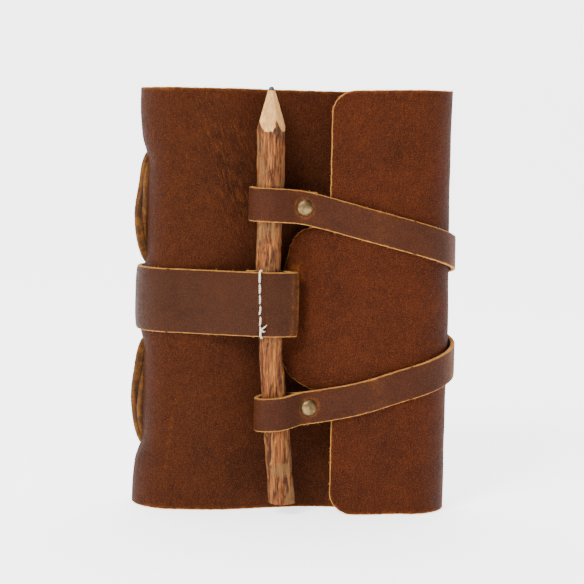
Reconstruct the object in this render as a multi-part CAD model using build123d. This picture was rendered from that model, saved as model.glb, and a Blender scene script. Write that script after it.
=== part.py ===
from build123d import *
import os
from math import acos, atan2, cos, pi, radians, sin

# A leather notebook cover with its paper block, standing upright on its bottom edge. All sizes
# are in millimetres. +X points to the fore edge, -X to the spine, -Y to the front, +Z up.
# The cover is one hide: back panel, spine, front panel, and the other way round the fore edge to
# a flap with a tongue. A belt is one strap too: a wide band round the spine, and two narrow
# tails round the fore edge. A twig pencil passes through their three loops and locks them.

# The hide
COVER_HEIGHT = 178.0
LEATHER = 2.0
BACK_Y = 17.0
SPINE_CENTRE = (-47.6, 0.0)
SPINE_RADIUS = 17.0
SHOULDER_ANGLE = 37.0
SEAM_ANGLE = 1.5
FRONT_EDGE_X = 62.1
FRONT_LOW_Y = -6.0
VALLEY_START_X = -38.0
VALLEY_END_X = 12.0
FOLD_CENTRE = (49.5, 0.5)
FOLD_RADIUS = 16.5

# The flap and its tongue
FLAP_Y = -19.5
FLAP_RISE_END_X = 28.0
TONGUE_BEND_X = 14.0
TONGUE_TIP = (-5.4, -12.9)
FLAP_EDGE_TOP_X = 14.6
FLAP_EDGE_LOW_X = 17.1
FLAP_CORNER = 9.5

# The belt
STRAP = 1.8
LAYER_GAP = 0.1
BAND_LOW_Z = 75.8
BAND_HIGH_Z = 102.7
TAIL_HALF_WIDTH = 7.0
TAIL_BACK_HALF_WIDTH = 6.3
SLIT_END_X = 10.0
SLIT_GAP = 0.5
BAND_FOLD = (0.75, -22.0)
BAND_FOLD_RADIUS = 1.15
BAND_LOOP_RADIUS = 6.5
BAND_SEAM_X = -13.4
STITCHES = 6
THREAD_RADIUS = 0.6

# The tails. loop is the x and inner radius of the loop round the pencil, rivet its x and z, end_x
# where the loop's return stops, line the middle line in x and z, and wrap its z at the front, the
# middle and the back of the fore-edge fold
UPPER_TAIL = {"loop": (-10.8, 6.3), "rivet": (4.2, 129.7), "end_x": 9.4,
              "line": [(-20.0, 130.7), (4.2, 129.7), (49.5, 118.1)], "wrap": (118.1, 110.2, 104.0)}
LOWER_TAIL = {"loop": (-6.2, 6.9), "rivet": (7.7, 46.1), "end_x": 11.2,
              "line": [(-16.0, 42.3), (7.7, 46.1), (21.0, 48.2), (49.5, 56.5)],
              "wrap": (56.5, 65.5, 74.5)}
TAILS = {"upper": UPPER_TAIL, "lower": LOWER_TAIL}
TAIL_MEET_Y = -20.6

# The rivets
RIVET_CAP_RADIUS = 3.5
RIVET_CAP_DOME = 1.5
RIVET_POST_RADIUS = 1.5
RIVET_BASE_RADIUS = 3.2
RIVET_BASE = 0.6
RIVET_HOLE_CLEARANCE = 0.05
LOOP_SIDE_GAP = 0.7
BELT_RIVET_X = (-26.0, -2.0)

# The twig pencil: (z, x, radius) of its sections, from the cut foot to the start of the point
PENCIL_Y = -19.6
PENCIL_SECTIONS = [(5.0, -2.3, 5.5), (29.0, -4.6, 5.3), (52.0, -6.9, 5.0), (70.0, -8.5, 4.8),
                   (105.0, -10.2, 4.8), (140.0, -10.0, 5.4), (163.2, -10.5, 5.9)]
POINT_TOP_Z = 177.2
POINT_TOP_RADIUS = 1.25
LEAD_RADIUS = 1.1
LEAD_BOTTOM_Z = 150.0
LEAD_TIP_Z = 179.0

# The lacing of the spine
LACE = 1.4
LACE_WIDTH = 4.4
LACE_OFFSET_Y = 2.5
LACE_OUT_X = -67.6
LACE_HOLES = {"upper": (103.4, 151.5), "lower": (24.6, 72.2)}

# The paper block, as folded signatures of sheets. Its front and back surfaces in plan, at the
# spine end, at two places between, and at the fore edge
SIGNATURES = 8
PAGE_LOW_Z = 4.0
PAGE_HIGH_Z = 174.0
PAGE_WIDTH = 110.0
BLOCK_STATIONS = [(-53.0, -13.2, 13.3), (-36.0, -14.0, 13.6), (-4.0, -6.1, 13.6),
                  (8.0, -3.7, 13.6), (60.0, -3.1, 11.6)]
SPINE_CLEARANCE = 1.2
SHEET_GAP = 0.06
FOLD_ROUND = 1.2

ROUND_STEPS = 24
CURVE_STEPS = 16
FAR = 60.0


def smooth(low, high, place):
    """A smooth step from 0 at low to 1 at high."""
    part = min(max((place - low) / (high - low), 0.0), 1.0)
    return part * part * (3.0 - 2.0 * part)


def front_surface(x):
    """Y of the front panel's outer face: full depth by the spine, falling to a valley."""
    drop = FRONT_LOW_Y + SPINE_RADIUS
    return -SPINE_RADIUS + drop * smooth(VALLEY_START_X, VALLEY_END_X, x)


def flap_surface(x):
    """Y of the flap's outer face, from the tongue's tip to the fore-edge fold."""
    fold_front = FOLD_CENTRE[1] - FOLD_RADIUS
    tip_x, tip_y = TONGUE_TIP
    outward = smooth(FOLD_CENTRE[0], FLAP_RISE_END_X, x) if x > FLAP_RISE_END_X else 1.0
    inward = 1.0 - smooth(tip_x, TONGUE_BEND_X, x)
    return fold_front + (FLAP_Y - fold_front) * outward + (tip_y - FLAP_Y) * inward


def along(low, high, steps):
    """Evenly spaced places from low to high."""
    return [low + (high - low) * i / steps for i in range(steps + 1)]


def arc_points(centre, radius, start, end, steps=ROUND_STEPS):
    """Points on an arc in plan. Angles are in degrees from +X, anticlockwise."""
    return [
        (centre[0] + radius * cos(radians(a)), centre[1] + radius * sin(radians(a)))
        for a in along(start, end, steps)
    ]


def sheet(line, near, far):
    """Plan outline of a sheet whose faces lie near and far to the left of a line of points."""
    points = [Vector(*p) for p in line]
    faces = ([], [])
    for i, point in enumerate(points):
        arriving = (point - points[i - 1]).normalized() if i else None
        leaving = (points[i + 1] - point).normalized() if i + 1 < len(points) else None
        ways = [w for w in (arriving, leaving) if w is not None]
        normals = [Vector(-w.Y, w.X) for w in ways]
        middle = sum(normals[1:], normals[0]).normalized()
        stretch = 1.0 / middle.dot(normals[0])
        for face, distance in zip(faces, (near, far)):
            face.append(point + middle * distance * stretch)
    outline = faces[0] + faces[1][::-1]
    return make_face(Polyline(*outline, close=True))


def upright(face, low=0.0, high=COVER_HEIGHT):
    """A plan outline raised from one height to another."""
    return extrude(Pos(0, 0, low) * face, amount=high - low)


def across(outline):
    """An outline in X and Z, extended through the whole depth."""
    return extrude(Plane.XZ * outline, amount=FAR, both=True)


def strip_outline(line, half_width):
    """Outline of a strip of constant height about a middle line, in X and Z."""
    top = [(x, z + half_width) for x, z in line]
    bottom = [(x, z - half_width) for x, z in line]
    return make_face(Polyline(*top, *bottom[::-1], close=True))


def ring(centre, radius, thickness, start, end):
    """Plan outline of a bent stretch of sheet, with its outer face at radius."""
    outer = CenterArc(centre, radius, start, end - start)
    inner = CenterArc(centre, radius - thickness, start, end - start)
    sides = [Line(outer @ 0, inner @ 0), Line(outer @ 1, inner @ 1)]
    return make_face([outer, inner, *sides])


def front_line():
    """The front panel's outer face in plan, from the shoulder to its free edge."""
    start = 270 - SHOULDER_ANGLE + SEAM_ANGLE
    bend = arc_points(SPINE_CENTRE, SPINE_RADIUS, start, 270, CURVE_STEPS)
    flat = [(VALLEY_START_X, front_surface(VALLEY_START_X))]
    valley = along(VALLEY_START_X, VALLEY_END_X, CURVE_STEPS)[1:]
    return bend + flat + [(x, front_surface(x)) for x in valley] + [(FRONT_EDGE_X, FRONT_LOW_Y)]


def cover_nodes():
    """The hide, in the five stretches between its folds."""
    spine_x = SPINE_CENTRE[0]
    fold_x = FOLD_CENTRE[0]
    back = Rectangle(fold_x - spine_x, LEATHER, align=(Align.MIN, Align.MAX))
    back = upright(Pos(spine_x, BACK_Y) * back)
    for x in BELT_RIVET_X:
        back -= rivet_hole(x, BAND_MIDDLE_Z, BACK_Y)
    spine = upright(ring(SPINE_CENTRE, SPINE_RADIUS, LEATHER, 90, 270 - SHOULDER_ANGLE))
    for holes in LACE_HOLES.values():
        for z in holes:
            slot = Box(2 * LEATHER, 2 * (LACE_OFFSET_Y + LACE_WIDTH / 2 + 0.2), LACE + 0.4)
            spine -= Pos(spine_x - SPINE_RADIUS + LEATHER, 0, z) * slot
    front = upright(sheet(front_line(), 0.0, LEATHER))
    fold = upright(ring(FOLD_CENTRE, FOLD_RADIUS, LEATHER, -90, 90))
    face = [(x, flap_surface(x)) for x in along(TONGUE_TIP[0], fold_x, 2 * CURVE_STEPS)]
    flap = upright(sheet(face, 0.0, LEATHER)) & across(flap_outline())
    return {
        "cover_back": back,
        "cover_spine": spine,
        "cover_front": front,
        "cover_fore_edge": fold,
        "cover_flap": flap,
    }


def flap_outline():
    """The flap in X and Z: round outer corners, and a round-ended tongue in the middle."""
    right = FOLD_CENTRE[0]
    top = COVER_HEIGHT
    tongue_top = 121.6
    tongue_low = 53.2
    notch = 4.0
    corner = FLAP_CORNER
    upper = [
        Line((right, top), (FLAP_EDGE_TOP_X + corner, top)),
        CenterArc((FLAP_EDGE_TOP_X + corner, top - corner), corner, 90, 90),
        Line((FLAP_EDGE_TOP_X, top - corner), (FLAP_EDGE_TOP_X, tongue_top + notch)),
        CenterArc((FLAP_EDGE_TOP_X - notch, tongue_top + notch), notch, 0, -90),
        Line((FLAP_EDGE_TOP_X - notch, tongue_top), (8.0, tongue_top)),
    ]
    tip = Spline(
        (8.0, tongue_top), (1.2, 117.3), (-2.9, 107.5), (-5.3, 90.0), (-4.7, 70.0), (-1.4, 58.6),
        (10.0, tongue_low),
        tangents=[(-1, 0), (1, 0)],
    )
    lower = [
        Line((10.0, tongue_low), (FLAP_EDGE_LOW_X - notch, tongue_low)),
        CenterArc((FLAP_EDGE_LOW_X - notch, tongue_low - notch), notch, 90, -90),
        Line((FLAP_EDGE_LOW_X, tongue_low - notch), (FLAP_EDGE_LOW_X, corner)),
        CenterArc((FLAP_EDGE_LOW_X + corner, corner), corner, 180, 90),
        Line((FLAP_EDGE_LOW_X + corner, 0), (right, 0)),
        Line((right, 0), (right, top)),
    ]
    return make_face([*upper, tip, *lower])


def rivet_hole(x, z, y):
    """A drilled hole through the sheet whose face is at y."""
    radius = RIVET_POST_RADIUS + RIVET_HOLE_CLEARANCE
    return Pos(x, y, z) * Rot(90, 0, 0) * Cylinder(radius, 4 * LEATHER)


def tangent_angle(point, centre, radius, side):
    """Direction from a circle's centre to where a line from a point touches it, in degrees."""
    away = atan2(point[1] - centre[1], point[0] - centre[0])
    distance = (Vector(*point) - Vector(*centre)).length
    return (away + side * acos(radius / distance)) * 180 / pi


def band_line():
    """Middle line of the band in plan: shoulder, over the pencil, fold, behind it, and back."""
    lift = SPINE_RADIUS + LAYER_GAP + STRAP / 2
    start = 270 - SHOULDER_ANGLE + SEAM_ANGLE
    bend = arc_points(SPINE_CENTRE, lift, start, 270, CURVE_STEPS)
    over = [(-18.0, -24.2), (-13.0, -25.4), (-9.4, -25.8), (-5.8, -25.4), (-2.6, -24.4)]
    fold = arc_points(BAND_FOLD, BAND_FOLD_RADIUS, -90, 90, CURVE_STEPS)
    centre = (-9.4, PENCIL_Y)
    touch = tangent_angle(fold[-1], centre, BAND_LOOP_RADIUS, 1)
    behind = arc_points(centre, BAND_LOOP_RADIUS, touch, 180)
    margin = [(-16.05, -21.1), (-16.9, -22.35), (-19.0, -21.95)]
    return bend + over + fold + behind + margin


def tail_line(tail):
    """Middle line of a tail in plan: end of the loop's return, round the pencil, to the fold."""
    centre = (tail["loop"][0], PENCIL_Y)
    radius = tail["loop"][1] + STRAP / 2
    apart = STRAP / 2 + LAYER_GAP
    meet_x = tail["rivet"][0] - RIVET_BASE_RADIUS - LOOP_SIDE_GAP
    inner = (meet_x, TAIL_MEET_Y + apart)
    outer = (meet_x, TAIL_MEET_Y - apart)
    start = tangent_angle(inner, centre, radius, 1)
    end = 360 + tangent_angle(outer, centre, radius, -1)
    loop = arc_points(centre, radius, start, end)
    on_flap = [x for x in along(FLAP_RISE_END_X, FOLD_CENTRE[0], CURVE_STEPS)]
    lift = LAYER_GAP + STRAP / 2
    rest = [(x, flap_surface(x) - lift) for x in [FLAP_EDGE_LOW_X + 1.5] + on_flap]
    return [(tail["end_x"], inner[1]), inner] + loop + [outer, (tail["end_x"], outer[1])] + rest


def belt_nodes():
    """The belt: a wide band, and two tails that are slit from it on the back panel."""
    x0 = SPINE_CENTRE[0]
    x1 = FOLD_CENTRE[0]
    half = TAIL_HALF_WIDTH
    upper_z = UPPER_TAIL["wrap"][2]
    lower_z = LOWER_TAIL["wrap"][2]
    yoke = Polyline(
        (x0, BAND_LOW_Z), (SLIT_END_X, BAND_LOW_Z), (x1, lower_z - half), (x1, lower_z + half),
        (SLIT_END_X, BAND_MIDDLE_Z - SLIT_GAP / 2), (SLIT_END_X, BAND_MIDDLE_Z + SLIT_GAP / 2),
        (x1, upper_z - half), (x1, upper_z + half), (SLIT_END_X, BAND_HIGH_Z), (x0, BAND_HIGH_Z),
        close=True,
    )
    lift = BACK_Y + LAYER_GAP
    layer = Pos(0, lift) * Rectangle(4 * FAR, STRAP, align=(Align.CENTER, Align.MIN))
    back = upright(layer) & across(make_face(yoke))
    for x in BELT_RIVET_X:
        back -= rivet_hole(x, BAND_MIDDLE_Z, lift)
    wrap_radius = SPINE_RADIUS + LAYER_GAP + STRAP
    wrap = ring(SPINE_CENTRE, wrap_radius, STRAP, 90, 270 - SHOULDER_ANGLE)
    band = sheet(band_line(), -STRAP / 2, STRAP / 2)
    nodes = {
        "belt_back": back,
        "belt_spine_wrap": upright(wrap, BAND_LOW_Z, BAND_HIGH_Z),
        "belt_band": upright(band, BAND_LOW_Z, BAND_HIGH_Z),
    }
    for name, tail in TAILS.items():
        nodes[f"{name}_tail_wrap"] = tail_wrap(tail)
        nodes[f"{name}_tail"] = tail_strap(tail)
    return nodes


def tail_wrap(tail):
    """A tail's stretch round the fore edge, which drops as it goes round."""
    radius = FOLD_RADIUS + LAYER_GAP + STRAP
    front_y = FOLD_CENTRE[1] - radius - 1.0
    back_y = FOLD_CENTRE[1] + radius + 1.0
    heights = tail["wrap"]
    line = [(front_y, heights[0]), (FOLD_CENTRE[1], heights[1]), (back_y, heights[2])]
    slab = extrude(Plane.YZ * strip_outline(line, TAIL_HALF_WIDTH), amount=2 * FAR)
    return upright(ring(FOLD_CENTRE, radius, STRAP, -90, 90)) & slab


def tail_strap(tail):
    """A tail's front stretch, with its riveted loop. The loop's return is a little narrower."""
    whole = upright(sheet(tail_line(tail), -STRAP / 2, STRAP / 2))
    line = tail["line"]
    front = across(strip_outline(line, TAIL_HALF_WIDTH))
    narrow = across(strip_outline(line, TAIL_BACK_HALF_WIDTH))
    meet_x = tail["rivet"][0] - RIVET_BASE_RADIUS - LOOP_SIDE_GAP
    behind = Pos(meet_x, TAIL_MEET_Y, 0) * Box(
        FAR, FAR, 2 * COVER_HEIGHT, align=(Align.MIN, Align.MIN, Align.CENTER)
    )
    behind &= Box(2 * tail["end_x"] + 0.2, 2 * FAR, 2 * COVER_HEIGHT)
    returned = (whole & behind) & narrow
    strap = (whole - behind) & front
    x, z = tail["rivet"]
    return (strap + returned) - rivet_hole(x, z, TAIL_MEET_Y)


def domed_cap(x, z, face_y, outward):
    """A rivet's cap: a low dome on a face, bulging along outward (-1 is to the front)."""
    reach = (RIVET_CAP_RADIUS**2 + RIVET_CAP_DOME**2) / (2 * RIVET_CAP_DOME)
    ball = Pos(x, face_y - outward * (reach - RIVET_CAP_DOME), z) * Sphere(reach)
    side = Align.MAX if outward < 0 else Align.MIN
    block = Box(4 * RIVET_CAP_RADIUS, 4.0, 4 * RIVET_CAP_RADIUS,
                align=(Align.CENTER, side, Align.CENTER))
    return ball & Pos(x, face_y, z) * block


def rod(x, z, y0, y1, radius):
    """A round bar along Y."""
    return Pos(x, (y0 + y1) / 2, z) * Rot(90, 0, 0) * Cylinder(radius, abs(y1 - y0))


def rivet_nodes():
    """A cap and a based post on each tail, and two rivets that hold the belt to the back."""
    nodes = {}
    front_face = TAIL_MEET_Y - LAYER_GAP - STRAP
    back_face = TAIL_MEET_Y + LAYER_GAP + STRAP
    for name, tail in TAILS.items():
        x, z = tail["rivet"]
        base = rod(x, z, back_face, back_face + RIVET_BASE, RIVET_BASE_RADIUS)
        nodes[f"{name}_rivet_cap"] = domed_cap(x, z, front_face - RIVET_HOLE_CLEARANCE, -1)
        nodes[f"{name}_rivet_post"] = rod(
            x, z, front_face, back_face, RIVET_POST_RADIUS
        ) + base
    face = BACK_Y + LAYER_GAP + STRAP
    rivets = [
        domed_cap(x, BAND_MIDDLE_Z, face, 1)
        + rod(x, BAND_MIDDLE_Z, BACK_Y - LEATHER + 0.2, face, RIVET_POST_RADIUS)
        for x in BELT_RIVET_X
    ]
    nodes["belt_back_rivets"] = rivets[0] + rivets[1]
    return nodes


def stitching_node():
    """The seam's thread: short stitches that lie on the band's front face."""
    pitch = (BAND_HIGH_Z - BAND_LOW_Z) / STITCHES
    face_y = -25.37 - STRAP / 2 - THREAD_RADIUS
    stitches = []
    for i in range(STITCHES):
        z = BAND_LOW_Z + pitch * (i + 0.5)
        stitches.append(Pos(BAND_SEAM_X, face_y, z) * Cylinder(THREAD_RADIUS, 0.8 * pitch))
    return {"band_stitching": Compound(children=stitches)}


def pencil_nodes():
    """The twig, cut to a point at the top, and the lead in its middle."""
    rings = [Pos(x, PENCIL_Y, z) * Circle(radius) for z, x, radius in PENCIL_SECTIONS]
    point_z, point_x, point_radius = PENCIL_SECTIONS[-1]
    height = POINT_TOP_Z - point_z
    cone = Cone(point_radius, POINT_TOP_RADIUS, height, align=(Align.CENTER, Align.CENTER, Align.MIN))
    twig = loft(rings) + Pos(point_x, PENCIL_Y, point_z) * cone
    core = Cylinder(LEAD_RADIUS, LEAD_TIP_Z - LEAD_BOTTOM_Z, align=(Align.CENTER, Align.CENTER, Align.MIN))
    core = Pos(point_x, PENCIL_Y, LEAD_BOTTOM_Z) * core
    twig -= core
    return {"pencil_twig": twig, "pencil_lead": core}


def lace_nodes():
    """Flat thongs outside the spine, two side by side, their ends through the spine's slots."""
    nodes = {}
    inside_x = SPINE_CENTRE[0] - SPINE_RADIUS + LEATHER + 1.0
    for place, (low, high) in LACE_HOLES.items():
        middle = (low + high) / 2
        line = [
            (inside_x, low), (-65.9, low), (-66.9, low + 6.0), (LACE_OUT_X, middle),
            (-66.9, high - 6.0), (-65.9, high), (inside_x, high),
        ]
        outline = sheet(line, -LACE / 2, LACE / 2)
        strip = extrude(Plane.XZ * outline, amount=LACE_WIDTH / 2, both=True)
        for side, y in (("front", -LACE_OFFSET_Y), ("back", LACE_OFFSET_Y)):
            nodes[f"{place}_lace_{side}"] = Pos(0, y, 0) * strip
    return nodes


def block_surface(x, share):
    """Y inside the paper block at x, for a share of its depth from front to back."""
    stations = BLOCK_STATIONS
    x = max(x, stations[0][0])
    for (x0, f0, b0), (x1, f1, b1) in zip(stations, stations[1:]):
        if x <= x1:
            part = (x - x0) / (x1 - x0)
            front = f0 + (f1 - f0) * part
            back = b0 + (b1 - b0) * part
            return front + (back - front) * share
    return None


def signature_nodes():
    """The paper block, front signature first. Each keeps to its share of the block's depth."""
    nodes = {}
    inner = SPINE_RADIUS - LEATHER - SPINE_CLEARANCE
    for i in range(SIGNATURES):
        shares = (i / SIGNATURES, (i + 1) / SIGNATURES)
        ends = [block_surface(BLOCK_STATIONS[0][0], s) for s in shares]
        furthest = max(abs(y) for y in ends)
        x0 = SPINE_CENTRE[0] - (inner**2 - furthest**2) ** 0.5
        x1 = x0 + PAGE_WIDTH
        begin = x0 + FOLD_ROUND
        places = [begin] + [s[0] for s in BLOCK_STATIONS if begin < s[0] < x1] + [x1]
        front = [(x, block_surface(x, shares[0]) + SHEET_GAP / 2) for x in places]
        back = [(x, block_surface(x, shares[1]) - SHEET_GAP / 2) for x in places]
        fold = ThreePointArc(front[0], (x0, (front[0][1] + back[0][1]) / 2), back[0])
        rest = Polyline(*back, *front[::-1])
        nodes[f"signature_{i + 1}"] = upright(make_face([fold, rest]), PAGE_LOW_Z, PAGE_HIGH_Z)
    return nodes


BAND_MIDDLE_Z = (BAND_LOW_Z + BAND_HIGH_Z) / 2

nodes = {}
for make in (cover_nodes, belt_nodes, rivet_nodes, stitching_node, pencil_nodes, lace_nodes, signature_nodes):
    nodes.update(make())

# The origin is under the middle of the whole object, at the height it stands on.
box = Compound(children=[Part() + shape for shape in nodes.values()]).bounding_box()
to_origin = Pos(-box.center().X, -box.center().Y, -box.min.Z)

os.makedirs("parts", exist_ok=True)
for name, shape in nodes.items():
    export_step(to_origin * shape, f"parts/{name}.step")
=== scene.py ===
import math
import random

import bmesh
import bpy
import numpy as np
from mathutils import Euler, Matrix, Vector, noise
from mathutils.geometry import delaunay_2d_cdt


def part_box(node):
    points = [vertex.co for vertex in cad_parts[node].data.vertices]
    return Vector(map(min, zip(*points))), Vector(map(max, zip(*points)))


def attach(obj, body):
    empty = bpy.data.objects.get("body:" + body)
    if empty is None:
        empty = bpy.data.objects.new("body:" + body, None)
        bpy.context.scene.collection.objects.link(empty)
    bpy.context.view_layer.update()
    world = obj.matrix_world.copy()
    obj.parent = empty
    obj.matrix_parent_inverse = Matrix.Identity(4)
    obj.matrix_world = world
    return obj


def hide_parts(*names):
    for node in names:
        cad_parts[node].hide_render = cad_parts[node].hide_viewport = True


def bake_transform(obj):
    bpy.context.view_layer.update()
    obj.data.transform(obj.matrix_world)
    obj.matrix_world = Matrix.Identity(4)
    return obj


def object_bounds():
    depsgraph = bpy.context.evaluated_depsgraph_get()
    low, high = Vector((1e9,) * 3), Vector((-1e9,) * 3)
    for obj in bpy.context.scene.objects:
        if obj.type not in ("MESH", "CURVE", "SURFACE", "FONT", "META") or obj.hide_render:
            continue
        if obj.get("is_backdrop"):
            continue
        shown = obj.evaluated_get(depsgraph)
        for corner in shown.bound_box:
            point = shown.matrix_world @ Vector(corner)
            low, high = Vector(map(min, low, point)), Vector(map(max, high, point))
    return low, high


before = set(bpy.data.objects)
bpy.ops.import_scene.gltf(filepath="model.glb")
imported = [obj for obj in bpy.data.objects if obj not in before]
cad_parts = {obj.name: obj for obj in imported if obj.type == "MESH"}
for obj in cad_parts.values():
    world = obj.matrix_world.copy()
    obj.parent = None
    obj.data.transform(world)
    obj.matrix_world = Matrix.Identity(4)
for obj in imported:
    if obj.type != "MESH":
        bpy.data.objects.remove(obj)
cad_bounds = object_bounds()

# ---- sizes, millimetres
# Shapes are worked out in the book's own millimetres, where the spine's round is at x -47.6 and
# the back panel's outer face at y 17, and are moved to the frame by the back panel's box.
HEIGHT = 178
HIDE = 2
STRAP = 1.8
SPINE = (-47.6, 0)
SPINE_R = 17
FOLD = (49.5, 0.5)
FOLD_R = 16.5
BACK_Y = 17
BACK_SPLIT_X = 20
BELT_SPLIT_X = 10
FRONT_EDGE_X = 62.1
TONGUE_TIP = (-5.4, -12.9)
FLAP_Y = -19.5
PENCIL_Y = -19.6
BAND_Z = (75.8, 102.7)
BELT_Z = sum(BAND_Z) / 2
GAP = 0.12
TAIL_HALF = 7
MEET_Y = -20.6
FLARE = 0.022
SPINE_ROOM = 2.2
SKIN_STEP = 1.6
EDGE_STEP = 0.9
BEVEL = 0.32
FIBRES_PER_MM = 0.5
HIDE_WANDER = 0.16
STRAP_WANDER = 0.07
STRAP_RELIEF = 0.12
PAGE_WIDTH = 110
PAGE_FOOT = 4
PAGE_HEIGHT = 170
PAGE_THICK = 0.075
BLOCK_R = 13.8
THREAD_SEED = 8
PAPER_SEED = 21

back_low, back_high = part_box("cover_back")
SHIFT = np.array([back_low[0] * 1000 - SPINE[0], back_high[1] * 1000 - BACK_Y, back_low[2] * 1000])

TAILS = {
    "upper": {
        "loop": (-10.8, 6.3), "rivet": (4.2, 129.7), "end_x": 9.4,
        "line": [(-20, 130.7), (-6, 130.4), (4.2, 129.7), (23.7, 124.9), (44.9, 119.3), (49.5, 118.1)],
        "wrap": (118.1, 110.2, 104), "root_z": 95.9, "bow": 0.9,
    },
    "lower": {
        "loop": (-6.2, 6.9), "rivet": (7.7, 46.1), "end_x": 11.2,
        "line": [(-16, 42.3), (-4, 43.7), (7.7, 46.1), (21, 48.2), (33.7, 51.5), (49.5, 56.5)],
        "wrap": (56.5, 65.5, 74.5), "root_z": 82.6, "bow": 1.5,
    },
}


def metres(points):
    """Book millimetres to frame metres. The foot of the book spreads a little."""
    p = np.array(points, float).reshape(-1, 3).copy()
    p[:, 0] *= 1 + FLARE * np.clip(1 - p[:, 2] / HEIGHT, 0, 1)
    return (p + SHIFT) / 1000


def spot(x, y, z):
    """One book point in frame metres, as a tuple."""
    return tuple(float(v) for v in metres([(x, y, z)])[0])


def smooth(low, high, v):
    t = np.clip((v - low) / (high - low), 0, 1)
    return t * t * (3 - 2 * t)


def bump(v, centre, width):
    """A soft hump of height 1."""
    return np.exp(-(((v - centre) / width) ** 2))


def wavy(a, b, scale, seed=0):
    """Smooth noise for arrays of two coordinates in millimetres."""
    a, b = np.broadcast_arrays(a, b)
    flat = [noise.noise(Vector((x / scale, y / scale, seed))) for x, y in zip(a.ravel(), b.ravel())]
    return np.array(flat).reshape(a.shape)


def unit(rows):
    """Vectors in rows, each scaled to length 1."""
    return rows / np.linalg.norm(rows, axis=1)[:, None]


def soften(rows, times):
    """Evens out rows in place, and keeps the first and the last."""
    for _ in range(times):
        rows[1:-1] = (rows[:-2] + 2 * rows[1:-1] + rows[2:]) / 4


def lengths(points):
    """The length along a line at each of its points."""
    return np.concatenate([[0], np.cumsum(np.hypot(*np.diff(points, axis=0).T))])


def rings_of(rows, around):
    """Faces of a skin through closed rings of points, one ring after another."""
    faces = []
    for i in range(rows - 1):
        for k in range(around):
            j = (k + 1) % around
            faces.append((i * around + k, i * around + j, (i + 1) * around + j, (i + 1) * around + k))
    return faces


def capped(rows, around):
    """The same with a face over each end."""
    last = (rows - 1) * around
    return rings_of(rows, around) + [tuple(range(around)), tuple(last + k for k in range(around))]


def together(parts):
    """Several (points, faces) as one."""
    points, faces = [], []
    for verts, skin in parts:
        base = len(points)
        points += [tuple(v) for v in verts]
        faces += [tuple(base + i for i in face) for face in skin]
    return points, faces


def upright(start, end, low=0, high=HEIGHT):
    """A four-sided outline in length and height."""
    return [(start, low), (end, low), (end, high), (start, high)]


# ---- paths in plan
class Plan:
    """A line in plan, followed by its length. side is 1 if the outside lies on its left."""

    def __init__(self, points, side, smoothing=3):
        p = np.array(points, float)
        gaps = np.hypot(*np.diff(p, axis=0).T)
        p = p[np.concatenate([[True], gaps > 1e-6])]
        s = lengths(p)
        dense = np.linspace(0, s[-1], max(int(s[-1] / 0.35), 8))
        q = np.stack([np.interp(dense, s, p[:, k]) for k in (0, 1)], 1)
        soften(q, smoothing)
        self.q = q
        self.s = lengths(q)
        way = unit(np.gradient(q, axis=0))
        self.n = np.stack([-way[:, 1], way[:, 0]], 1) * side
        self.length = self.s[-1]

    def at(self, s):
        x, y = (np.interp(s, self.s, self.q[:, k]) for k in (0, 1))
        nx, ny = (np.interp(s, self.s, self.n[:, k]) for k in (0, 1))
        size = np.hypot(nx, ny)
        return x, y, nx / size, ny / size

    def find(self, x, after=0, before=1e9):
        """The length at which the line comes nearest to x, between two lengths."""
        ok = (self.s >= after) & (self.s <= before)
        i = np.argmin(np.where(ok, abs(self.q[:, 0] - x), 1e9))
        return self.s[i]


def arc(centre, radius, start, end, step=4):
    n = max(int(abs(end - start) / step), 2)
    a = np.radians(np.linspace(start, end, n + 1))
    return [(centre[0] + radius * math.cos(t), centre[1] + radius * math.sin(t)) for t in a]


def front_y(x):
    return -SPINE_R + 11 * smooth(-38, 12, x)


def flap_y(x):
    fold_front = FOLD[1] - FOLD_R
    outward = 1 - smooth(28, FOLD[0], x)
    inward = 1 - smooth(TONGUE_TIP[0], 14, x)
    return fold_front + (FLAP_Y - fold_front) * outward + (TONGUE_TIP[1] - FLAP_Y) * inward


def hide_plan():
    """The hide's outer face: tongue, flap, fore edge, back, spine, front panel."""
    flap = [(x, float(flap_y(x))) for x in np.linspace(TONGUE_TIP[0], FOLD[0], 60)]
    fold = arc(FOLD, FOLD_R, -90, 90)
    back = [(x, BACK_Y) for x in np.linspace(FOLD[0], SPINE[0], 40)]
    spine = arc(SPINE, SPINE_R, 90, 270)
    front = [(x, float(front_y(x))) for x in np.linspace(SPINE[0], FRONT_EDGE_X, 70)]
    return Plan(flap + fold + back + spine + front, -1)


def tangent_angle(point, centre, radius, side):
    """Where on a circle, in degrees, a line from a point touches it."""
    x, y = point[0] - centre[0], point[1] - centre[1]
    return math.degrees(math.atan2(y, x) + side * math.acos(radius / math.hypot(x, y)))


def tail_plan(tail):
    """A tail's middle line: loop's return, loop, front, fore edge, back, to the slit."""
    centre = (tail["loop"][0], PENCIL_Y)
    radius = tail["loop"][1] + STRAP / 2
    apart = STRAP / 2 + GAP / 2
    meet_x = tail["rivet"][0] - 3.9
    inner = (meet_x, MEET_Y + apart)
    outer = (meet_x, MEET_Y - apart)
    start = tangent_angle(inner, centre, radius, 1)
    end = 360 + tangent_angle(outer, centre, radius, -1)
    lift = GAP + STRAP / 2
    rest = [(x, float(flap_y(x)) - lift) for x in np.linspace(18.6, FOLD[0], 30)]
    fold = arc(FOLD, FOLD_R + lift, -90, 90)
    back = [(x, BACK_Y + lift) for x in np.linspace(FOLD[0], BELT_SPLIT_X, 14)]
    first = [(tail["end_x"], inner[1]), inner] + arc(centre, radius, start, end)
    return Plan(first + [outer, (tail["end_x"], outer[1])] + rest + fold + back, -1, smoothing=8)


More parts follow.
